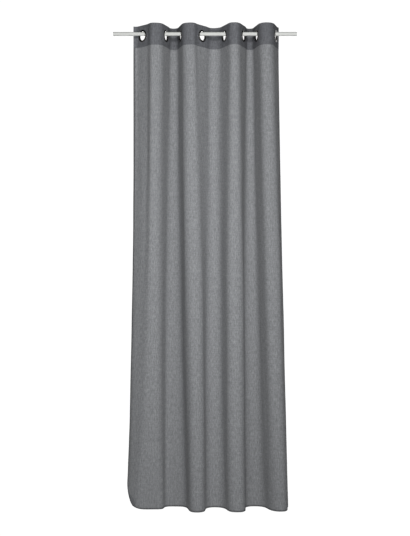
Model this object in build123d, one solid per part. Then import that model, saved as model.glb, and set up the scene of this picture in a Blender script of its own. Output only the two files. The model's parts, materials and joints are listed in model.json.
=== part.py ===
# Fabric room curtain panel with eyelets, hung in pleats on a short straight rod.
# Millimetres. The origin is the middle of the rod's axis, +X runs along the rod,
# -Y is the room side and +Z is up. The panel hangs below the rod.
#
# The real cloth is one piece that bends at the pleat folds. Here it is divided at each fold into
# one strip for each eyelet, so that the panel can be drawn along the rod like folding shutters.
from build123d import *

import os
from math import cos, radians, sin

# The finished panel, laid flat
panel_width = 1400.0
panel_height = 2450.0
end_margin = 60.0  # from a side edge to the nearest eyelet's centre
header_height = 110.0
cloth_thick = 1.5  # the hanging cloth
header_cloth_thick = 0.9  # each of the header's two layers
header_seam_height = 6.0  # the stitched foot of the header, below its pocket
side_hem_width = 10.0
tape_thick = 1.0  # the stiffener in the header
tape_clearance = 0.1  # all round the stiffener in its pocket
fold_gap = 6.0  # left open between two strips at a fold in the header, for the fold to turn

# Rod
rod_length = 930.0
rod_radius = 10.0
rod_wall = 1.0

# Eyelets: a front ring with a collar, and a back ring that grips the collar
eyelet_bore_radius = 22.0
collar_wall = 1.2
flange_width = 8.5
flange_rise = 2.6
flange_round = 2.2
back_ring_width = 6.3
back_ring_thick = 1.8
collar_end_round = 0.8
collar_hole_clearance = 0.3  # between the collar and the hole in the header
back_ring_clearance = 0.05  # between the collar and the back ring
hang_gap = 1.5  # from the rod's top to the top of an eyelet's bore
header_above_eyelet = 54.5  # from an eyelet's centre to the header's top edge

# How the panel hangs on the rod, from left to right: the first eyelet's place, the gaps between
# eyelets, and the angles from the rod at which the header crosses it
first_eyelet_x = -315.0
eyelet_gaps = [116.0, 76.0, 108.0, 114.0, 95.0, 68.0, 95.0]
eyelet_angles = [47.0, 71.0, 76.0, 52.0, 68.0, 70.0, 76.0, 75.0]
header_end_angles = [-20.0, 58.0]  # the same angle at the panel's left and right edges

# The same half way down and at the hem, where the pleats have spread and drifted: the line straight
# below each eyelet in the cloth (y is how far it is behind the rod's axis), and the pleats' folds
middle_wall_x = [-328.0, -207.0, -110.0, -5.0, 97.0, 195.0, 284.0, 386.0]
middle_wall_y = [6.0, 30.0, 2.0, -8.0, -10.0, 2.0, 12.0, 0.0]
hem_wall_x = [-367.0, -210.0, -86.0, 2.0, 110.0, 206.0, 315.0, 418.0]
hem_wall_y = [14.0, 30.0, 3.0, -15.0, -17.0, 4.0, 18.0, 4.0]
hem_fold_x = [-270.0, -138.0, -38.0, 50.0, 167.0, 251.0, 382.0]
hem_wall_angles = [38.0, 78.0, 80.0, 84.0, 74.0, 92.0, 72.0, 84.0]
hem_end_angles = [78.0, 80.0]
hem_fold_gaps = [34.0, 8.0, 6.0, 12.0, 6.0, 6.0, 10.0]  # fold_gap at the hem: wide where a fold hangs
# further in than its hinge in the header, because there the strips close on each other
hem_flat = 12.0  # half of the straight stretch of cloth on each such line, at the hem

# The curve of a half pleat: how far each end holds its direction, as a share of its span
wall_hold = 0.42
fold_hold = 0.42

# Sizes that follow from those above
eyelet_count = len(eyelet_gaps) + 1
pitch = (panel_width - 2 * end_margin) / (eyelet_count - 1)
eyelet_x = [first_eyelet_x + sum(eyelet_gaps[:k]) for k in range(eyelet_count)]
fold_x = [(a + b) / 2 for a, b in zip(eyelet_x, eyelet_x[1:])]
middle_fold_x = [(a + b) / 2 for a, b in zip(middle_wall_x, middle_wall_x[1:])]
flange_radius = eyelet_bore_radius + flange_width
eyelet_flat = flange_radius + 1.0
collar_radius = eyelet_bore_radius + collar_wall
header_thick = 2 * (header_cloth_thick + tape_clearance) + tape_thick
eyelet_z = -(eyelet_bore_radius - rod_radius - hang_gap)
header_top = eyelet_z + header_above_eyelet
header_foot = header_top - header_height
hem_z = header_top - panel_height
middle_z = (header_foot + hem_z) / 2


def mix(header_value, hem_value, fall):
    """A value at a height, where fall is 0 at the header's foot and 1 at the hem."""
    return header_value + (hem_value - header_value) * fall


def settle(header_value, middle_value, hem_value, fall):
    """The same for a value known half way down too: the parabola through all three."""
    upper, centre, lower = (1 - fall) * (1 - 2 * fall), 4 * fall * (1 - fall), fall * (2 * fall - 1)
    return header_value * upper + middle_value * centre + hem_value * lower


def turned(header_angle, hem_angle, fall):
    """An angle that is soon near the one it has at the hem."""
    return mix(header_angle, hem_angle, 1 - (1 - fall) ** 2)


def side(k):
    """-1 where the cloth runs towards the room at eyelet k, and the fold after it is a front one."""
    return -1 if k % 2 == 0 else 1


def wall_centre(k, fall):
    """The middle of the straight stretch of cloth straight below eyelet k."""
    x = settle(eyelet_x[k], middle_wall_x[k], hem_wall_x[k], fall)
    return Vector(x, settle(0, middle_wall_y[k], hem_wall_y[k], fall))


def wall_direction(k, fall):
    angle = radians(turned(eyelet_angles[k], hem_wall_angles[k], fall))
    return Vector(cos(angle), side(k) * sin(angle))


def wall_end(k, fall, way):
    """The end of the straight stretch at eyelet k, towards the left (way -1) or the right (way 1)."""
    return wall_centre(k, fall) + wall_direction(k, fall) * mix(eyelet_flat, hem_flat, fall) * way


def curve(start, start_direction, end, end_direction):
    """A smooth curve between two points that leaves and arrives in the given directions."""
    span = (end - start).length
    leave, arrive = start_direction * span * wall_hold, end_direction * span * fold_hold
    return Bezier(start, start + leave, end - arrive, end)


def half_pleat_length(k, way, fall, fold):
    start, direction = wall_end(k, fall, way), wall_direction(k, fall) * way
    return curve(start, direction, fold, Vector(way, 0)).length + mix(eyelet_flat, hem_flat, fall)


def fold_point(k, fall):
    """The fold between eyelets k and k + 1, as deep as the cloth between them makes it."""
    x = settle(fold_x[k], middle_fold_x[k], hem_fold_x[k], fall)
    low, high = 0.0, pitch
    for _ in range(24):
        depth = (low + high) / 2
        fold = Vector(x, side(k) * depth)
        length = half_pleat_length(k, 1, fall, fold) + half_pleat_length(k + 1, -1, fall, fold)
        low, high = (low, depth) if length > pitch else (depth, high)
    return Vector(x, side(k) * (low + high) / 2)


def edge_point(k, fall, way):
    """The panel's left or right edge, past its end eyelet, and the direction the cloth has there."""
    angles, hem_angles = header_end_angles, hem_end_angles
    end_angle = turned(angles[(way + 1) // 2], hem_angles[(way + 1) // 2], fall)
    wall_angle = turned(eyelet_angles[k], hem_wall_angles[k], fall)
    length = end_margin - mix(eyelet_flat, hem_flat, fall)
    mean, last = radians((wall_angle + end_angle) / 2), radians(end_angle)
    start = wall_end(k, fall, way)
    point = start + Vector(cos(mean), side(k) * sin(mean)) * length * way
    return point, Vector(cos(last), side(k) * sin(last))


def strip_end(k, fall, way, short):
    """Where strip k stops on one side, short of the fold or of the panel's edge, and its direction."""
    is_edge = k + way < 0 or k + way >= eyelet_count
    if is_edge:
        point, direction = edge_point(k, fall, way)
    else:
        fold = k if way > 0 else k - 1
        point, direction = fold_point(fold, fall), Vector(1, 0)
        short = mix(fold_gap, hem_fold_gaps[fold], fall) / 2
    return point - direction * short * way, direction


def strip_outline(k, z, fall, thick, short=0.0):
    """The plan of strip k at one height, as a thin closed face: curve, straight, curve."""
    left, left_direction = strip_end(k, fall, -1, short)
    right, right_direction = strip_end(k, fall, 1, short)
    direction = wall_direction(k, fall)
    inner_left, inner_right = wall_end(k, fall, -1), wall_end(k, fall, 1)
    sides = []
    for offset in (thick / 2, -thick / 2):
        move = [Vector(-d.Y, d.X) * offset for d in (left_direction, direction, right_direction)]
        first = curve(inner_left + move[1], -direction, left + move[0], -left_direction)
        middle = Line(inner_left + move[1], inner_right + move[1])
        last = curve(inner_right + move[1], direction, right + move[2], right_direction)
        sides.append([first, middle, last])
    caps = [Line(sides[0][0] @ 1, sides[1][0] @ 1), Line(sides[0][2] @ 1, sides[1][2] @ 1)]
    return Pos(0, 0, z) * make_face(sides[0] + sides[1] + caps)


def eyelet_plane(k):
    """Centred in eyelet k, with X along the header and Z out of the header's face."""
    along = wall_direction(k, 0)
    return Plane(origin=(eyelet_x[k], 0, eyelet_z), x_dir=(along.X, along.Y, 0), z_dir=(along.Y, -along.X, 0))


def eyelet_hole(k, radius):
    return eyelet_plane(k) * Cylinder(radius, 4 * header_thick)


def band(k, low, high, thick, short=0.0):
    """An upright band that follows the header's plan from one height to another."""
    return extrude(strip_outline(k, low, 0, thick, short), amount=high - low, dir=(0, 0, 1))


def header(k):
    """The header's share at eyelet k: cloth folded over the stiffener's pocket and stitched at its foot."""
    outside = band(k, header_foot, header_top, header_thick)
    low, high = header_foot + header_seam_height, header_top - header_cloth_thick
    pocket = band(k, low, high, tape_thick + 2 * tape_clearance, side_hem_width)
    return outside - pocket - eyelet_hole(k, collar_radius + collar_hole_clearance)


def tape(k):
    """The stiffener's share at eyelet k."""
    low = header_foot + header_seam_height + tape_clearance
    high = header_top - header_cloth_thick - tape_clearance
    strip = band(k, low, high, tape_thick, side_hem_width + tape_clearance)
    return strip - eyelet_hole(k, collar_radius + collar_hole_clearance)


def drop(k):
    """The cloth that hangs below the header, ruled from its foot to the middle and on to the hem."""
    levels = [(header_foot, 0.0), (middle_z, 0.5), (hem_z, 1.0)]
    return loft([strip_outline(k, z, fall, cloth_thick) for z, fall in levels], ruled=True)


def front_ring(k):
    """A domed flange on the header's face, with the collar that passes through it."""
    seat = header_thick / 2
    top = seat + flange_rise
    end = -seat - back_ring_thick
    bore = eyelet_bore_radius
    crown = bore + flange_round
    profile = [
        Line((bore, end + collar_end_round), (bore, top - flange_round)),
        RadiusArc((bore, top - flange_round), (crown, top), flange_round),
        Bezier((crown, top), (flange_radius - flange_round, top), (flange_radius, top),
               (flange_radius, seat)),
        Line((flange_radius, seat), (collar_radius, seat)),
        Line((collar_radius, seat), (collar_radius, end)),
        Line((collar_radius, end), (bore + collar_end_round / 2, end)),
        Line((bore + collar_end_round / 2, end), (bore, end + collar_end_round)),
    ]
    return eyelet_plane(k) * revolve(Plane.XZ * make_face(profile), Axis.Z)


def back_ring(k):
    """The flat ring pressed onto the collar at the header's back."""
    inner = collar_radius + back_ring_clearance
    low = -header_thick / 2 - back_ring_thick
    ring = Cylinder(collar_radius + back_ring_width, back_ring_thick) - Cylinder(inner, back_ring_thick)
    rim = ring.edges().filter_by(GeomType.CIRCLE).group_by(Axis.Z)[0].sort_by(SortBy.RADIUS)[-1]
    return eyelet_plane(k) * Pos(0, 0, low + back_ring_thick / 2) * fillet(rim, back_ring_thick / 2)


def rod():
    tube = Cylinder(rod_radius, rod_length) - Cylinder(rod_radius - rod_wall, rod_length)
    rims = tube.edges().filter_by(GeomType.CIRCLE).group_by(SortBy.RADIUS)[-1]
    return Rot(0, 90, 0) * chamfer(rims, rod_wall / 4)


os.makedirs("parts", exist_ok=True)
export_step(rod(), "parts/rod.step")
for k in range(eyelet_count):
    export_step(header(k), f"parts/header_{k + 1}.step")
    export_step(tape(k), f"parts/header_tape_{k + 1}.step")
    export_step(drop(k), f"parts/cloth_{k + 1}.step")
    export_step(front_ring(k), f"parts/eyelet_front_{k + 1}.step")
    export_step(back_ring(k), f"parts/eyelet_back_{k + 1}.step")
for k in range(eyelet_count - 1):
    hinge = fold_point(k, 0)
    print(f"fold {k + 1}: x {hinge.X:.2f}, y {hinge.Y:.2f}")
print(f"eyelets at x {eyelet_x}, z {eyelet_z:.2f}")
print(f"header from {header_foot:.1f} to {header_top:.1f}, hem at {hem_z:.1f}")
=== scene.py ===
import json
from math import cos, pi, radians, sin

import bmesh
import bpy
import numpy as np
from mathutils import Matrix, Vector, noise


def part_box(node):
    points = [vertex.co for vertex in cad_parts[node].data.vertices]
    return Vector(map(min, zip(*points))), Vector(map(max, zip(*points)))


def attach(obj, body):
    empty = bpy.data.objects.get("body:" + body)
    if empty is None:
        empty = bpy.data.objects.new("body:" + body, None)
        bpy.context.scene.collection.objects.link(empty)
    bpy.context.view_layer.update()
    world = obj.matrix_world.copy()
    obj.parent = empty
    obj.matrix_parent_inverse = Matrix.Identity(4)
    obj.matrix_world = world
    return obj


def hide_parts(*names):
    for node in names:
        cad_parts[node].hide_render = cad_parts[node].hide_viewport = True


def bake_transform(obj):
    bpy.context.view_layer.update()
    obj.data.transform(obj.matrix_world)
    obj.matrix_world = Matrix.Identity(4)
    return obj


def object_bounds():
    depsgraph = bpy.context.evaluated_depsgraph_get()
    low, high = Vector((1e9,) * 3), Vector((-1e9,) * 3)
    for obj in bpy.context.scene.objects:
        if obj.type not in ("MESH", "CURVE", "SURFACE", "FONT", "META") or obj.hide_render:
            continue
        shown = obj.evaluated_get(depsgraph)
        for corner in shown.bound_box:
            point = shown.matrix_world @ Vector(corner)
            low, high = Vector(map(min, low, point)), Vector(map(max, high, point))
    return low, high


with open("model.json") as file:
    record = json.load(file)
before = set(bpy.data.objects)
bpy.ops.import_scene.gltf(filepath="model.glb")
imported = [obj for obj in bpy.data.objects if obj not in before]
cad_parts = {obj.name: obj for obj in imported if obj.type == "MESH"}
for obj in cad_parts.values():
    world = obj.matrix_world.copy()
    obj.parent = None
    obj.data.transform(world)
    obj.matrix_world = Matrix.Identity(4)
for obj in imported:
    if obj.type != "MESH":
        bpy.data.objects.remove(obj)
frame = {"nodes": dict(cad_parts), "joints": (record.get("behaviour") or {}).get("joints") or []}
cad_low, cad_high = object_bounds()

# The view and the studio. The camera stands in the room, straight in front of the rod and level with
# the middle of the drop. A white sweep of floor and backdrop, lit evenly, lies round the panel.
camera_distance = 5.6
view_height = 2.713  # what the view takes in at the rod, from bottom to top
view_drop = 0.0035  # the view's centre, below the middle of the panel
sweep_below = 0.12
sweep_behind = 9.0
sweep_front = 9.0
sweep_half_width = 9.0
sweep_height = 9.0
sweep_bend = 1.0
white_strength = 1.05
fill_colour = (0.75, 0.87, 1, 1)
fill_strength = 0.03

view_centre = Vector((0, 0, (cad_low.z + cad_high.z) / 2 - view_drop))
camera_data = bpy.data.cameras.new("camera")
camera_data.lens = camera_data.sensor_width * camera_distance / view_height
camera = bpy.data.objects.new("camera", camera_data)
camera.location = view_centre + Vector((0, -camera_distance, 0))
camera.rotation_euler = (pi / 2, 0, 0)
bpy.context.scene.collection.objects.link(camera)
bpy.context.scene.camera = camera
bpy.context.scene.view_settings.view_transform = "Standard"
bpy.context.scene.cycles.transparent_max_bounces = 24


def new_material(name):
    """A material with only its output, and the function that adds a node to it with values set."""
    material = bpy.data.materials.new(name)
    material.use_nodes = True
    tree = material.node_tree
    tree.nodes.clear()

    def node(kind, values=None, **settings):
        made = tree.nodes.new(kind)
        for key, value in settings.items():
            setattr(made, key, value)
        for key, value in (values or {}).items():
            made.inputs[key].default_value = value
        return made

    return material, node, tree.links.new


def white_sweep():
    material, node, link = new_material("white_sweep")
    glow = node("ShaderNodeEmission", {"Color": (1, 1, 1, 1), "Strength": white_strength})
    output = node("ShaderNodeOutputMaterial")
    link(glow.outputs[0], output.inputs["Surface"])
    return material


def sweep():
    """The floor's front edge, extruded back and bent up into the backdrop."""
    floor_z = cad_low.z - sweep_below
    bm = bmesh.new()
    ends = (-sweep_half_width, sweep_half_width)
    corners = [bm.verts.new((x, -sweep_front, floor_z)) for x in ends]
    edge = bm.edges.new(corners)
    flat = bmesh.ops.extrude_edge_only(bm, edges=[edge])
    verts = [g for g in flat["geom"] if isinstance(g, bmesh.types.BMVert)]
    bmesh.ops.translate(bm, verts=verts, vec=(0, sweep_front + sweep_behind - sweep_bend, 0))
    edges = [g for g in flat["geom"] if isinstance(g, bmesh.types.BMEdge)]
    centre = (0, sweep_behind - sweep_bend, floor_z + sweep_bend)
    bent = bmesh.ops.spin(bm, geom=edges, cent=centre, axis=(1, 0, 0), angle=pi / 2, steps=12)
    wall = bmesh.ops.extrude_edge_only(
        bm, edges=[g for g in bent["geom_last"] if isinstance(g, bmesh.types.BMEdge)])
    verts = [g for g in wall["geom"] if isinstance(g, bmesh.types.BMVert)]
    bmesh.ops.translate(bm, verts=verts, vec=(0, 0, sweep_height))
    mesh = bpy.data.meshes.new("sweep")
    bm.to_mesh(mesh)
    bm.free()
    mesh.materials.append(white_sweep())
    mesh.shade_smooth()
    made = bpy.data.objects.new("sweep", mesh)
    made.visible_diffuse = False
    made.visible_transmission = False
    bpy.context.scene.collection.objects.link(made)


def softbox(name, place, target, size, power):
    data = bpy.data.lights.new(name, "AREA")
    data.shape = "RECTANGLE"
    data.size, data.size_y = size
    data.energy = power
    lamp = bpy.data.objects.new(name, data)
    lamp.location = place
    lamp.rotation_euler = (Vector(target) - Vector(place)).to_track_quat("-Z", "Y").to_euler()
    bpy.context.scene.collection.objects.link(lamp)


sweep()
softbox("room_light", (0.25, -2.5, -0.85), (0.03, 0, -0.85), (0.6, 0.7), 38)
softbox("high_light", (-0.10, -4.0, 0.80), (0.0, 0, -0.40), (0.5, 0.4), 56)
softbox("back_light", (0.0, 3.6, -0.90), (0, 0, -1.10), (1.0, 1.6), 70)


def studio_world():
    """A faint cool fill, behind which the room looks as white as the sweep."""
    world = bpy.data.worlds.new("studio")
    world.use_nodes = True
    tree = world.node_tree
    fill = tree.nodes["Background"]
    fill.inputs["Color"].default_value = fill_colour
    fill.inputs["Strength"].default_value = fill_strength
    white = tree.nodes.new("ShaderNodeBackground")
    white.inputs["Color"].default_value = (1, 1, 1, 1)
    white.inputs["Strength"].default_value = white_strength
    seen = tree.nodes.new("ShaderNodeLightPath")
    both = tree.nodes.new("ShaderNodeMixShader")
    tree.links.new(seen.outputs["Is Camera Ray"], both.inputs["Fac"])
    tree.links.new(fill.outputs[0], both.inputs[1])
    tree.links.new(white.outputs[0], both.inputs[2])
    tree.links.new(both.outputs[0], tree.nodes["World Output"].inputs["Surface"])
    bpy.context.scene.world = world


studio_world()

# Rod: a straight drawn tube with a fine satin lacquer, pale grey. Its two bare ends stand out past the
# panel, where brackets hold it. The tube itself is the CAD node.
rod_colour = (0.79, 0.80, 0.77, 1)
rod_streaks = 900.0


def satin_lacquer():
    material, node, link = new_material("satin_lacquer")
    place = node("ShaderNodeTexCoord")
    stretch = node("ShaderNodeMapping", {"Scale": (0.02, 1, 1)})
    grain = node("ShaderNodeTexNoise", {"Scale": rod_streaks, "Detail": 4.0})
    tone = node("ShaderNodeMix", {"A": (0.90, 0.90, 0.90, 1), "B": (1, 1, 1, 1)}, data_type="RGBA")
    colour = node("ShaderNodeMix", {"Factor": 1.0, "B": rod_colour},
                  data_type="RGBA", blend_type="MULTIPLY")
    relief = node("ShaderNodeBump", {"Strength": 0.15, "Distance": 0.00005})
    lacquer = node("ShaderNodeBsdfPrincipled", {"Roughness": 0.5, "Specular IOR Level": 0.5})
    output = node("ShaderNodeOutputMaterial")
    link(place.outputs["Object"], stretch.inputs["Vector"])
    link(stretch.outputs["Vector"], grain.inputs["Vector"])
    link(grain.outputs[0], tone.inputs["Factor"])
    link(tone.outputs["Result"], colour.inputs["A"])
    link(colour.outputs["Result"], lacquer.inputs["Base Color"])
    link(grain.outputs[0], relief.inputs["Height"])
    link(relief.outputs["Normal"], lacquer.inputs["Normal"])
    link(lacquer.outputs[0], output.inputs["Surface"])
    return material


def finish_node(name, material):
    """Gives a CAD node its finish."""
    mesh = frame["nodes"][name].data
    mesh.materials.clear()
    mesh.materials.append(material)


finish_node("rod", satin_lacquer())

# Eyelets: eight pressed metal rings plated dark gunmetal, each a domed front ring whose collar passes
# through the header and a back ring that grips it. Both halves are CAD nodes.
eyelet_count = sum(name.startswith("eyelet_front_") for name in frame["nodes"])
gunmetal_colour = (0.045, 0.040, 0.038, 1)
gunmetal_worn = (0.075, 0.068, 0.065, 1)


def gunmetal():
    material, node, link = new_material("gunmetal")
    place = node("ShaderNodeTexCoord")
    cloud = node("ShaderNodeTexNoise", {"Scale": 160.0, "Detail": 5.0})
    scuffs = node("ShaderNodeTexNoise", {"Scale": 1400.0, "Detail": 2.0})
    tone = node("ShaderNodeMix", {"A": gunmetal_colour, "B": gunmetal_worn}, data_type="RGBA")
    gloss = node("ShaderNodeMapRange", {"To Min": 0.20, "To Max": 0.34})
    relief = node("ShaderNodeBump", {"Strength": 0.08, "Distance": 0.00004})
    plating = node("ShaderNodeBsdfPrincipled",
                   {"Metallic": 0.9, "Coat Weight": 0.3, "Coat Roughness": 0.12})
    output = node("ShaderNodeOutputMaterial")
    link(place.outputs["Object"], cloud.inputs["Vector"])
    link(place.outputs["Object"], scuffs.inputs["Vector"])
    link(cloud.outputs[0], tone.inputs["Factor"])
    link(cloud.outputs[0], gloss.inputs["Value"])
    link(tone.outputs["Result"], plating.inputs["Base Color"])
    link(gloss.outputs[0], plating.inputs["Roughness"])
    link(scuffs.outputs[0], relief.inputs["Height"])
    link(relief.outputs["Normal"], plating.inputs["Normal"])
    link(plating.outputs[0], output.inputs["Surface"])
    return material


plating = gunmetal()
for k in range(eyelet_count):
    finish_node(f"eyelet_front_{k + 1}", plating)
    finish_node(f"eyelet_back_{k + 1}", plating)

# Cloth: one sheer panel of slubby grey chambray, hung in pleats. Its top is turned over to the back
# and stitched down as the header, and its sides and foot are turned in narrow hems.
panel_width = 1.400
end_margin = 0.060  # from each side edge to the middle of the nearest eyelet
header_height = 0.110
eyelet_flat = 0.0315  # how far the cloth runs straight to each side of an eyelet's middle
hem_flat = 0.012  # and to each side of the same line at the hem

# The hang's plan. A wall is the cloth at an eyelet, or on the line below it, at its angle to the rod in
# degrees, and a fold is the turn between two walls.
eyelet_angles = [47.0, 71.0, 76.0, 52.0, 68.0, 70.0, 76.0, 75.0]
header_end_angles = [-20.0, 58.0]
middle_wall_x = [-0.328, -0.207, -0.110, -0.005, 0.097, 0.195, 0.284, 0.386]
hem_wall_x = [-0.367, -0.210, -0.086, 0.002, 0.110, 0.206, 0.315, 0.418]
middle_wall_y = [0.006, 0.030, 0.002, -0.008, -0.010, 0.002, 0.012, 0.0]
hem_wall_y = [0.014, 0.030, 0.003, -0.015, -0.017, 0.004, 0.018, 0.004]
hem_fold_x = [-0.270, -0.138, -0.038, 0.050, 0.167, 0.251, 0.382]
hem_wall_angles = [38.0, 78.0, 80.0, 84.0, 74.0, 92.0, 72.0, 84.0]
hem_end_angles = [78.0, 80.0]
wall_hold = 0.42  # how far a curve keeps straight on from a wall, as a share of its span
fold_hold = 0.42  # and on to the middle of a fold

eyelet_boxes = [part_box(f"eyelet_front_{k + 1}") for k in range(eyelet_count)]
eyelet_z = (eyelet_boxes[0][0].z + eyelet_boxes[0][1].z) / 2
fold_joints = {j["name"]: j for j in frame["joints"]}
pitch = (panel_width - 2 * end_margin) / (eyelet_count - 1)
header_top = cad_high.z
header_foot = header_top - header_height
hem_z = cad_low.z
first_eyelet_x = fold_joints["eyelet_1_turn"]["pos_m"][0]
fold_x = [fold_joints[f"fold_{k + 1}"]["pos_m"][0] for k in range(eyelet_count - 1)]
eyelet_x = [first_eyelet_x]
for x in fold_x:
    eyelet_x.append(2 * x - eyelet_x[-1])
middle_fold_x = [(a + b) / 2 for a, b in zip(middle_wall_x, middle_wall_x[1:])]


def mix(header_value, hem_value, fall):
    """A value at a height, where fall is 0 at the header's foot and 1 at the hem."""
    return header_value + (hem_value - header_value) * fall


def settle(header_value, middle_value, hem_value, fall):
    """The same for a value known half way down too: the parabola through all three."""
    upper, centre, lower = (1 - fall) * (1 - 2 * fall), 4 * fall * (1 - fall), fall * (2 * fall - 1)
    return header_value * upper + middle_value * centre + hem_value * lower


def side(k):
    """-1 where the cloth runs towards the room at eyelet k, and the fold after it is a front one."""
    return -1 if k % 2 == 0 else 1


def turned(header_angle, hem_angle, fall):
    """A wall's angle, which is soon near the angle it has at the hem."""
    return mix(header_angle, hem_angle, 1 - (1 - fall) ** 2)


def wall_direction(k, fall):
    angle = radians(turned(eyelet_angles[k], hem_wall_angles[k], fall))
    return np.array((cos(angle), side(k) * sin(angle)))


def wall_end(k, fall, way):
    """The end of the straight stretch at eyelet k, towards the left (way -1) or the right (way 1)."""
    x = settle(eyelet_x[k], middle_wall_x[k], hem_wall_x[k], fall)
    y = settle(0, middle_wall_y[k], hem_wall_y[k], fall)
    return np.array((x, y)) + wall_direction(k, fall) * mix(eyelet_flat, hem_flat, fall) * way


def curve(start, start_direction, end, end_direction, steps=24):
    """Points of a smooth curve that leaves its start and reaches its end in the given directions."""
    span = np.linalg.norm(end - start)
    a = start + start_direction * span * wall_hold
    b = end - end_direction * span * fold_hold
    t = np.linspace(0, 1, steps)[:, None]
    return (1 - t) ** 3 * start + 3 * t * (1 - t) ** 2 * a + 3 * t * t * (1 - t) * b + t ** 3 * end


def pleat(k, fall, depth):
    """The plan of the cloth from eyelet k's straight stretch to eyelet k + 1's."""
    x = settle(fold_x[k], middle_fold_x[k], hem_fold_x[k], fall)
    fold = np.array((x, side(k) * depth))
    across = np.array((1.0, 0.0))
    there = curve(wall_end(k, fall, 1), wall_direction(k, fall), fold, across)
    back = curve(wall_end(k + 1, fall, -1), -wall_direction(k + 1, fall), fold, -across)
    return np.concatenate((there, back[-2::-1]))


def run_length(points):
    return np.linalg.norm(np.diff(points, axis=0), axis=1).sum()


depth_halvings = 20


def hung_pleat(k, fall):
    """The pleat as deep as the cloth between two eyelets makes it."""
    low, high = 0.0, pitch
    free = pitch - 2 * mix(eyelet_flat, hem_flat, fall)
    for _ in range(depth_halvings):
        depth = (low + high) / 2
        low, high = (low, depth) if run_length(pleat(k, fall, depth)) > free else (depth, high)
    return pleat(k, fall, (low + high) / 2)


def end_flap(k, fall, way):
    """The cloth past an end eyelet, out to the panel's edge."""
    end = (way + 1) // 2
    end_angle = turned(header_end_angles[end], hem_end_angles[end], fall)
    wall_angle = turned(eyelet_angles[k], hem_wall_angles[k], fall)
    mean, last = radians((wall_angle + end_angle) / 2), radians(end_angle)
    length = end_margin - mix(eyelet_flat, hem_flat, fall)
    start = wall_end(k, fall, way)
    point = start + np.array((cos(mean), side(k) * sin(mean))) * length * way
    end_direction = np.array((cos(last), side(k) * sin(last))) * way
    return curve(start, wall_direction(k, fall) * way, point, end_direction)


def plan(fall):
    """The whole panel's plan at a height, as points a millimetre of cloth apart."""
    last = eyelet_count - 1
    parts = [end_flap(0, fall, -1)[::-1]]
    parts += [hung_pleat(k, fall) for k in range(last)]
    parts.append(end_flap(last, fall, 1))
    points = np.concatenate(parts)
    run = np.concatenate(([0], np.cumsum(np.linalg.norm(np.diff(points, axis=0), axis=1))))
    lines = np.linspace(0, run[-1], plan_lines)
    return np.stack((np.interp(lines, run, points[:, 0]), np.interp(lines, run, points[:, 1])), axis=1)


plan_lines = 1401
plan_levels = 17
plans = np.array([plan(level / (plan_levels - 1)) for level in range(plan_levels)])
face_reach = 3  # how many points of a plan to each side say which way the cloth faces


def plan_point(s, z):
    """Where the cloth's middle line s is at height z, and the way its face looks there."""
    fall = min(max((header_foot - z) / (header_foot - hem_z), 0), 1) * (plan_levels - 1)
    level = min(int(fall), plan_levels - 2)
    line = min(max(s / panel_width, 0), 1) * (plan_lines - 1)
    i = min(int(line), plan_lines - 2)
    near, far = plans[level], plans[level + 1]
    rows = near[i:i + 2] + (far[i:i + 2] - near[i:i + 2]) * (fall - level)
    point = rows[0] + (rows[1] - rows[0]) * (line - i)
    j, m = max(i - face_reach, 0), min(i + 1 + face_reach, plan_lines - 1)
    along = (near[m] - near[j]) + ((far[m] - far[j]) - (near[m] - near[j])) * (fall - level)
    along /= np.linalg.norm(along)
    return point, np.array((along[1], -along[0]))


# How the cloth is not perfectly smooth: shallow sways down the drop, small wrinkles, one crease
# across it from the way it was packed, and a curled corner.
sways = [(0.060, 0.55, 0.0026), (0.026, 0.19, 0.0009), (0.011, 0.045, 0.00022)]  # width, length, height
sway_start = 0.10  # how far below the header the sways are at their full height
sway_slice = 7.3  # where the sways are taken from the noise
crease_z = -2.182
crease_width = 0.006
crease_rise = 0.0009
crease_wander = 0.004  # how far up and down the crease strays
crease_wave = 0.2  # and over what width it does so once
crease_slice = 3.1
curls = [(0.080, 0.124, 0.030), (0.170, 0.030, 0.012)]  # each roll's run, rise and radius


def sway(s, z):
    """How far the cloth stands out from its smooth hang."""
    free = min(max((header_foot - z) / sway_start, 0.0), 1.0)
    out = 0.0
    for across, down, height in sways:
        out += noise.noise(Vector((s / across, z / down, sway_slice * across))) * height * free
    wander = crease_wander * noise.noise(Vector((s / crease_wave, crease_slice, 0)))
    crease = max(0.0, 1 - abs(z - crease_z + wander) / crease_width)
    return out + crease * crease * crease_rise


def curled(s, z):
    """The same point of the cloth after the lower left corner has rolled back."""
    back = 0.0
    for run, rise, radius in curls:
        length = (run ** 2 + rise ** 2) ** 0.5
        towards = np.array((-rise, -run)) / length
        past = max(0.0, np.array((s - run, z - hem_z)) @ towards)
        slide = radius * sin(past / radius) - past
        s, z = s + towards[0] * slide, z + towards[1] * slide
        back -= radius * (1 - cos(past / radius))
    return s, z, back


def cloth_point(s, z, offset=0.0):
    """A point of the hung cloth: offset is how far it stands in front of the cloth's middle."""
    s, z, back = curled(s, z)
    (x, y), face = plan_point(s, z)
    reach = offset + back + sway(s, z)
    return Vector((x + face[0] * reach, y + face[1] * reach, z))


def spaced(start, end, gap):
    """Evenly spaced values from start up to but not including end."""
    count = max(1, round(abs(end - start) / gap))
    return [start + (end - start) * i / count for i in range(count)]


def hung_sheet(columns, rows):
    """A grid laid onto the hung cloth, with its place in the cloth as its UV map, in metres.

    A row is its height and offset. A column is its place across the cloth, an offset of its own,
    and the share that it takes of each row's offset.
    """
    bm = bmesh.new()
    across, down = len(columns) - 1, len(rows) - 1
    bmesh.ops.create_grid(bm, x_segments=across, y_segments=down, size=0.5)
    uv = bm.loops.layers.uv.new("cloth")
    place = {}
    for vert in bm.verts:
        s, side_offset, share = columns[round((vert.co.x + 0.5) * across)]
        z, row_offset = rows[round((0.5 - vert.co.y) * down)]
        place[vert] = (s, z, row_offset * share + side_offset)
        vert.co = cloth_point(*place[vert])
    for face in bm.faces:
        for loop in face.loops:
            loop[uv].uv = place[loop.vert][:2]
    return bm, place


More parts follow.
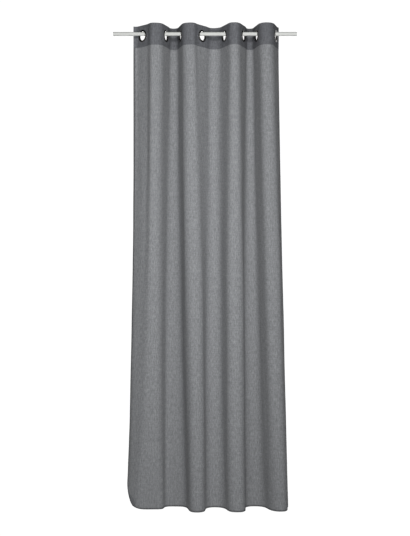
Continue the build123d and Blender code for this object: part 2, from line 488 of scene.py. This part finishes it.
def cut_at_eyelets(bm):
    """Cuts upright through every eyelet's middle, so that each pleat is a piece of its own."""
    for x in eyelet_x:
        everything = bm.verts[:] + bm.edges[:] + bm.faces[:]
        bmesh.ops.bisect_plane(bm, geom=everything, plane_co=(x, 0, 0), plane_no=(1, 0, 0), dist=1e-7)


def piece_at(x):
    """Which piece of the panel is at x: 0 is the left end, and then one for each pleat."""
    return sum(x > line for line in eyelet_x)


def ride_pleat(piece, i):
    """The ends ride on the end sections, and a pleat keeps its place, its transform baked into its mesh.
    """
    if 0 < i < eyelet_count:
        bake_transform(piece)
    else:
        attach(piece, f"section_{min(i + 1, eyelet_count)}")


piece_names = ["left_end"] + [f"pleat_{k + 1}" for k in range(eyelet_count - 1)] + ["right_end"]


def pieces_of(bm, kind, material, stands_for=()):
    """Splits a panel into its pieces, which keep the whole panel's shading where they meet."""
    bm.normal_update()
    made = []
    for i, name in enumerate(piece_names):
        part = bm.copy()
        normals = {tuple(v.co): v.normal.copy() for v in part.verts}
        gone = [f for f in part.faces if piece_at(f.calc_center_median().x) != i]
        bmesh.ops.delete(part, geom=gone, context="FACES")
        mesh = bpy.data.meshes.new(f"{kind}_{name}")
        part.to_mesh(mesh)
        part.free()
        mesh.materials.append(material)
        mesh.shade_smooth()
        mesh.normals_split_custom_set_from_vertices([normals[tuple(v.co)] for v in mesh.vertices])
        piece = bpy.data.objects.new(f"{kind}_{name}", mesh)
        bpy.context.scene.collection.objects.link(piece)
        ride_pleat(piece, i)
        sections = [k for k in (i, i + 1) if 1 <= k <= eyelet_count]
        for node in stands_for:
            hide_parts(*(f"{node}_{k}" for k in sections))
        made.append(piece)
    bm.free()
    return made


def painted_hem_shade(node, link, place):
    """Painted shade: 1 over the single cloth, and less over the hems, a painted shade for the light that
    their two layers hold back.
    """
    hems = (("X", 0, side_hem, side_shade),
            ("X", panel_width, panel_width - side_hem, side_shade),
            ("Y", hem_z, hem_z + foot_hem, foot_shade))
    layers = []
    for axis, low, high, shade in hems:
        edge = node("ShaderNodeMapRange", {"From Min": high - (high - low) * hem_fade, "From Max": high,
                                           "To Min": shade, "To Max": 1.0})
        link(place[axis], edge.inputs["Value"])
        layers.append(edge.outputs["Result"])
    least = layers[0]
    for layer in layers[1:]:
        darker = node("ShaderNodeMath", operation="MINIMUM")
        link(least, darker.inputs[0])
        link(layer, darker.inputs[1])
        least = darker.outputs[0]
    return least


# Painted shade across the cloth's width, from its left edge (0) to its right (1): lightest near the left
# end, a darker band over the second pleat's back fold, and darker from the sixth pleat's back fold to the
# right edge
painted_shade_across = [(0.0, 0.98), (0.05, 0.98), (0.072, 1.0), (0.10, 0.95), (0.19, 0.95),
             (0.238, 0.86), (0.29, 0.95), (0.64, 0.95), (0.75, 0.86), (1.0, 0.86)]
thread_pitch = 0.0009


def chambray(name, colour, sheer, glow, hems=False):
    """Woven cloth with uneven upright yarns, finer ribs across, painted shade across its width and, where
    asked, over its hems, and a little of the light behind it.
    """
    material, node, link = new_material(name)
    place = node("ShaderNodeUVMap", uv_map="cloth")

    def yarns(across, down, detail, low, high):
        stretch = node("ShaderNodeMapping", {"Scale": (across, down, 1)})
        grain = node("ShaderNodeTexNoise", {"Scale": 1.0, "Detail": detail, "Roughness": 0.6})
        span = node("ShaderNodeMapRange", {"From Min": 0.25, "From Max": 0.75,
                                           "To Min": low, "To Max": high})
        link(place.outputs["UV"], stretch.inputs["Vector"])
        link(stretch.outputs["Vector"], grain.inputs["Vector"])
        link(grain.outputs[0], span.inputs["Value"])
        return span.outputs["Result"]

    def product(a, b):
        times = node("ShaderNodeMath", operation="MULTIPLY")
        link(a, times.inputs[0])
        link(b, times.inputs[1])
        return times.outputs[0]

    streaks = product(yarns(150, 14, 3.0, 0.86, 1.14), yarns(1500, 60, 2.0, 0.88, 1.12))
    slubs = product(yarns(210, 48, 3.0, 0.70, 1.30), yarns(430, 120, 3.0, 0.82, 1.18))
    ribs = product(yarns(22, 200, 2.0, 0.90, 1.10), yarns(60, 1500, 2.0, 0.90, 1.10))
    apart = node("ShaderNodeSeparateXYZ")
    across = node("ShaderNodeMapRange", {"From Max": panel_width})
    drift = node("ShaderNodeValToRGB")
    link(place.outputs["UV"], apart.inputs["Vector"])
    link(apart.outputs["X"], across.inputs["Value"])
    link(across.outputs["Result"], drift.inputs["Fac"])
    stops = drift.color_ramp.elements
    for position, depth in painted_shade_across[1:-1]:
        stops.new(position)
    for stop, (position, depth) in zip(stops, painted_shade_across):
        stop.position, stop.color = position, (depth, depth, depth, 1)
    # The yarns' tone times the painted shade across the width.
    shade = product(product(product(slubs, ribs), streaks), drift.outputs["Color"])
    if hems:
        shade = product(shade, painted_hem_shade(node, link, apart.outputs))
    tone = node("ShaderNodeVectorMath", {0: colour[:3]}, operation="SCALE")
    link(shade, tone.inputs["Scale"])

    def threads(direction, period):
        wave = node("ShaderNodeTexWave",
                    {"Scale": 2 * pi / period / 20, "Distortion": 0.6, "Detail": 1.0},
                    bands_direction=direction)
        link(place.outputs["UV"], wave.inputs["Vector"])
        return wave.outputs["Fac"]

    weave = product(threads("X", thread_pitch), threads("Y", thread_pitch))
    relief = node("ShaderNodeBump", {"Strength": 0.25, "Distance": 0.00015})
    lumps = node("ShaderNodeBump", {"Strength": 0.35, "Distance": 0.0004})
    link(slubs, lumps.inputs["Height"])
    link(weave, relief.inputs["Height"])
    link(lumps.outputs["Normal"], relief.inputs["Normal"])
    face = node("ShaderNodeBsdfPrincipled", {"Roughness": 0.9, "Specular IOR Level": 0.25,
                                             "Sheen Weight": 0.02, "Sheen Roughness": 0.5})
    through = node("ShaderNodeBsdfTranslucent")
    gaps = node("ShaderNodeBsdfTransparent")
    body = node("ShaderNodeMixShader", {"Fac": glow})
    cloth = node("ShaderNodeMixShader", {"Fac": sheer})
    output = node("ShaderNodeOutputMaterial")
    link(tone.outputs["Vector"], face.inputs["Base Color"])
    link(tone.outputs["Vector"], through.inputs["Color"])
    link(relief.outputs["Normal"], face.inputs["Normal"])
    link(relief.outputs["Normal"], through.inputs["Normal"])
    link(face.outputs[0], body.inputs[1])
    link(through.outputs[0], body.inputs[2])
    link(body.outputs[0], cloth.inputs[1])
    link(gaps.outputs[0], cloth.inputs[2])
    link(cloth.outputs[0], output.inputs["Surface"])
    return material


# The drop: one layer of the cloth, from the header's seam to the floor end. Its sides are turned back
# in narrow hems and its foot in a slightly deeper one.
hem_half = 0.0005  # half the distance between a hem's two layers
side_hem = 0.010
foot_hem = 0.008
side_turn = 0.0006  # how far in from its fold a side hem's turn ends
foot_turn = 0.0004  # how far up from its fold the foot hem's turn ends
# How deep the painted shade over the side hems and the foot hem is
side_shade = 0.55
foot_shade = 0.84
hem_fade = 0.08  # the share of a hem in which its shade ends
column_inset = 0.0035
column_gap = 0.0055
row_gap = 0.0115
crease_row_gap = 0.0028
crease_reach = 0.014  # how far above and below the crease the rows are closer
drop_colour = (0.293, 0.300, 0.312)

left_hem = [(side_hem, -2 * hem_half), (side_hem / 2, -2 * hem_half), (side_turn, -1.9 * hem_half),
            (0.0, -hem_half), (side_turn, -0.1 * hem_half)]
inside = spaced(column_inset, end_margin, column_gap)
for k in range(eyelet_count - 1):
    inside += spaced(end_margin + k * pitch, end_margin + (k + 1) * pitch, column_gap)
inside += spaced(panel_width - end_margin, panel_width - column_inset, column_gap)
inside.append(panel_width - column_inset)
drop_columns = [(s, offset, 1) for s, offset in left_hem] + [(s, 0, 1) for s in inside]
drop_columns += [(panel_width - s, offset, 1) for s, offset in reversed(left_hem)]
drop_rows = [(header_foot, 0.0004), (header_foot - 0.003, 0.0002)]
drop_rows += [(z, 0) for z in spaced(header_foot - 0.008, crease_z + crease_reach, row_gap)]
drop_rows += [(z, 0) for z in spaced(crease_z + crease_reach, crease_z - crease_reach, crease_row_gap)]
drop_rows += [(z, 0) for z in spaced(crease_z - crease_reach, hem_z + foot_turn, row_gap)]
drop_rows += [(hem_z + foot_turn, -0.2 * hem_half), (hem_z, -hem_half)]
drop_rows += [(hem_z + foot_turn, -1.8 * hem_half), (hem_z + foot_hem / 2, -2 * hem_half)]
drop_rows.append((hem_z + foot_hem, -2 * hem_half))

drop, _ = hung_sheet(drop_columns, drop_rows)
cut_at_eyelets(drop)
drop_cloth = chambray("chambray", drop_colour, 0.03, 0.10, hems=True)
for piece in pieces_of(drop, "drop", drop_cloth, ["cloth"]):
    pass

# The header: the same cloth turned over a stiffening tape and stitched down behind, so it is denser
# and lets less light through than the drop, and its colour is painted darker too, a painted shade. Each
# eyelet grips both layers round a hole.
header_half = 0.00140  # half the distance between the header's two layers
seam_rise = 0.006
seam_z = header_foot + seam_rise
seam_pinch = 0.002  # how far below the seam the stitches still press the layers together
seam_swell = 0.003  # how far above it the layers are about their full distance apart
top_steps = 4
header_row_gap = 0.0052
eyelet_hole = 0.0262
# Painted shade: the same cloth's colour, painted darker than the drop's
shaded_header_colour = (0.182, 0.187, 0.202)

closed_edge = [(0, 0, 0), (0.0004, 0, 0.55), (0.0014, 0, 0.9)]
header_columns = closed_edge + [(s, 0, 1) for s in inside]
header_columns += [(panel_width - s, offset, share) for s, offset, share in reversed(closed_edge)]
swell_z = seam_z + seam_swell
header_rows = [(header_foot, -0.0008), (seam_z - seam_pinch, -0.0008), (seam_z, -0.0003)]
header_rows += [(z, -header_half) for z in spaced(swell_z, header_top - header_half, header_row_gap)]
for i in range(top_steps + 1):
    turn = pi * i / top_steps
    header_rows.append((header_top - header_half + header_half * sin(turn), -header_half * cos(turn)))
header_rows += [(z, header_half) for z in spaced(header_top - 2 * header_half, swell_z, header_row_gap)]
header_rows += [(swell_z, header_half * 0.85), (seam_z, 0.0003)]
header_rows += [(seam_z - seam_pinch, 0.0006), (header_foot, 0.0004)]


def open_eyelet_holes(bm, place):
    """Cuts the round holes that the collars pass through, in both layers."""
    def from_eyelet(s, z):
        k = min(max(round((s - end_margin) / pitch), 0), eyelet_count - 1)
        return Vector((s - end_margin - k * pitch, z - eyelet_z))

    gone = []
    for face in bm.faces:
        middle = [sum(place[v][i] for v in face.verts) / len(face.verts) for i in (0, 1)]
        if from_eyelet(*middle).length < eyelet_hole:
            gone.append(face)
    rims = {v for face in gone for v in face.verts}
    bmesh.ops.delete(bm, geom=gone, context="FACES")
    uv = bm.loops.layers.uv["cloth"]
    for vert in (v for v in rims if v.is_valid):
        s, z, offset = place[vert]
        out = from_eyelet(s, z)
        s, z = Vector((s, z)) + out * (eyelet_hole / out.length - 1)
        vert.co = cloth_point(s, z, offset)
        for loop in vert.link_loops:
            loop[uv].uv = (s, z)


header, header_place = hung_sheet(header_columns, header_rows)
open_eyelet_holes(header, header_place)
cut_at_eyelets(header)
header_cloth = chambray("shade_painted_chambray", shaded_header_colour, 0.02, 0.05)
for piece in pieces_of(header, "header", header_cloth, ["header"]):
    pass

# The stiffener: a strip of pressed grey web laid inside the header before it is stitched down. It holds
# the pleats' tops upright, and each eyelet's collar passes through it.
web_inset = 0.003  # from the header's top and sides
web_above_seam = 0.004
web_colour = (0.22, 0.22, 0.23, 1)
web_pale = (0.30, 0.30, 0.31, 1)


def pressed_web():
    material, node, link = new_material("pressed_web")
    place = node("ShaderNodeUVMap", uv_map="cloth")
    fibres = node("ShaderNodeTexNoise", {"Scale": 900.0, "Detail": 5.0})
    tone = node("ShaderNodeMix", {"A": web_colour, "B": web_pale}, data_type="RGBA")
    relief = node("ShaderNodeBump", {"Strength": 0.3, "Distance": 0.0001})
    face = node("ShaderNodeBsdfPrincipled", {"Roughness": 0.95, "Specular IOR Level": 0.2})
    output = node("ShaderNodeOutputMaterial")
    link(place.outputs["UV"], fibres.inputs["Vector"])
    link(fibres.outputs[0], tone.inputs["Factor"])
    link(fibres.outputs[0], relief.inputs["Height"])
    link(tone.outputs["Result"], face.inputs["Base Color"])
    link(relief.outputs["Normal"], face.inputs["Normal"])
    link(face.outputs[0], output.inputs["Surface"])
    return material


web_foot, web_top = seam_z + web_above_seam, header_top - web_inset
web_columns = [(s, 0, 1) for s in [web_inset] + inside[1:-1] + [panel_width - web_inset]]
web_rows = [(z, 0) for z in spaced(web_top, web_foot, header_row_gap) + [web_foot]]
web, web_place = hung_sheet(web_columns, web_rows)
open_eyelet_holes(web, web_place)
cut_at_eyelets(web)
for piece in pieces_of(web, "stiffener", pressed_web(), ["header_tape"]):
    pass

# Stitching: matching grey thread in straight lockstitch, along the header's seam and round the hems.
# Each stitch is a short bead of twisted thread laid into the cloth, on its front and on its back.
stitch_length = 0.0034
stitch_pitch = 0.0042
thread_radius = 0.00024
stitch_inset = 0.002  # from the panel's side edges to a run's first and last stitch
seam_stand = 0.0007  # how far the seam's thread stands out from the middle of the cloth
hem_stand = 0.0002  # and the hems' thread from the middle of the layer that it lies on
hem_line = hem_z + foot_hem - 0.0015
side_line = side_hem - 0.0018
thread_colour = (0.17, 0.175, 0.187, 1)
thread_pale = (0.24, 0.245, 0.26, 1)


def spun_thread():
    material, node, link = new_material("spun_thread")
    place = node("ShaderNodeTexCoord")
    twist = node("ShaderNodeTexNoise", {"Scale": 2600.0, "Detail": 2.0})
    tone = node("ShaderNodeMix", {"A": thread_colour, "B": thread_pale}, data_type="RGBA")
    relief = node("ShaderNodeBump", {"Strength": 0.3, "Distance": 0.00005})
    face = node("ShaderNodeBsdfPrincipled", {"Roughness": 0.7, "Specular IOR Level": 0.3})
    output = node("ShaderNodeOutputMaterial")
    link(place.outputs["Object"], twist.inputs["Vector"])
    link(twist.outputs[0], tone.inputs["Factor"])
    link(twist.outputs[0], relief.inputs["Height"])
    link(tone.outputs["Result"], face.inputs["Base Color"])
    link(relief.outputs["Normal"], face.inputs["Normal"])
    link(face.outputs[0], output.inputs["Surface"])
    return material


def sew(bm, start, end, offset):
    """Adds a run of stitches from one (s, z) to another: laid flat in a row, then hung with the cloth."""
    run = Vector(end) - Vector(start)
    row = bmesh.new()
    size = Matrix.Diagonal((stitch_length / 2, thread_radius, thread_radius, 1))
    size = size @ Matrix.Rotation(pi / 2, 4, "Y")
    bmesh.ops.create_uvsphere(row, u_segments=4, v_segments=4, radius=1, matrix=size)
    bead = row.verts[:] + row.edges[:] + row.faces[:]
    more = int(run.length / stitch_pitch) - 1
    bmesh.ops.spin(row, geom=bead, dvec=(stitch_pitch, 0, 0), axis=(0, 0, 1), angle=0, steps=more,
                   use_duplicate=True)
    along, across = run.normalized(), run.normalized().orthogonal()
    for vert in row.verts:
        s, z = Vector(start) + along * vert.co.x + across * vert.co.y
        vert.co = cloth_point(s, z, offset + vert.co.z)
    mesh = bpy.data.meshes.new("row")
    row.to_mesh(mesh)
    row.free()
    bm.from_mesh(mesh)
    bpy.data.meshes.remove(mesh)


first_stitch, last_stitch = stitch_inset, panel_width - stitch_inset
header_stitches, hem_stitches = bmesh.new(), bmesh.new()
for offset in (seam_stand, -seam_stand):
    sew(header_stitches, (first_stitch, seam_z), (last_stitch, seam_z), offset)
for offset in (hem_stand, -2 * hem_half - hem_stand):
    sew(hem_stitches, (first_stitch, hem_line), (last_stitch, hem_line), offset)
    for s in (side_line, panel_width - side_line):
        sew(hem_stitches, (s, header_foot - 0.003), (s, hem_line), offset)
thread = spun_thread()
for bm, kind, slot in ((header_stitches, "header_stitches", "header"),
                       (hem_stitches, "hem_stitches", "cloth")):
    bmesh.ops.recalc_face_normals(bm, faces=bm.faces[:])
    pieces_of(bm, kind, thread)
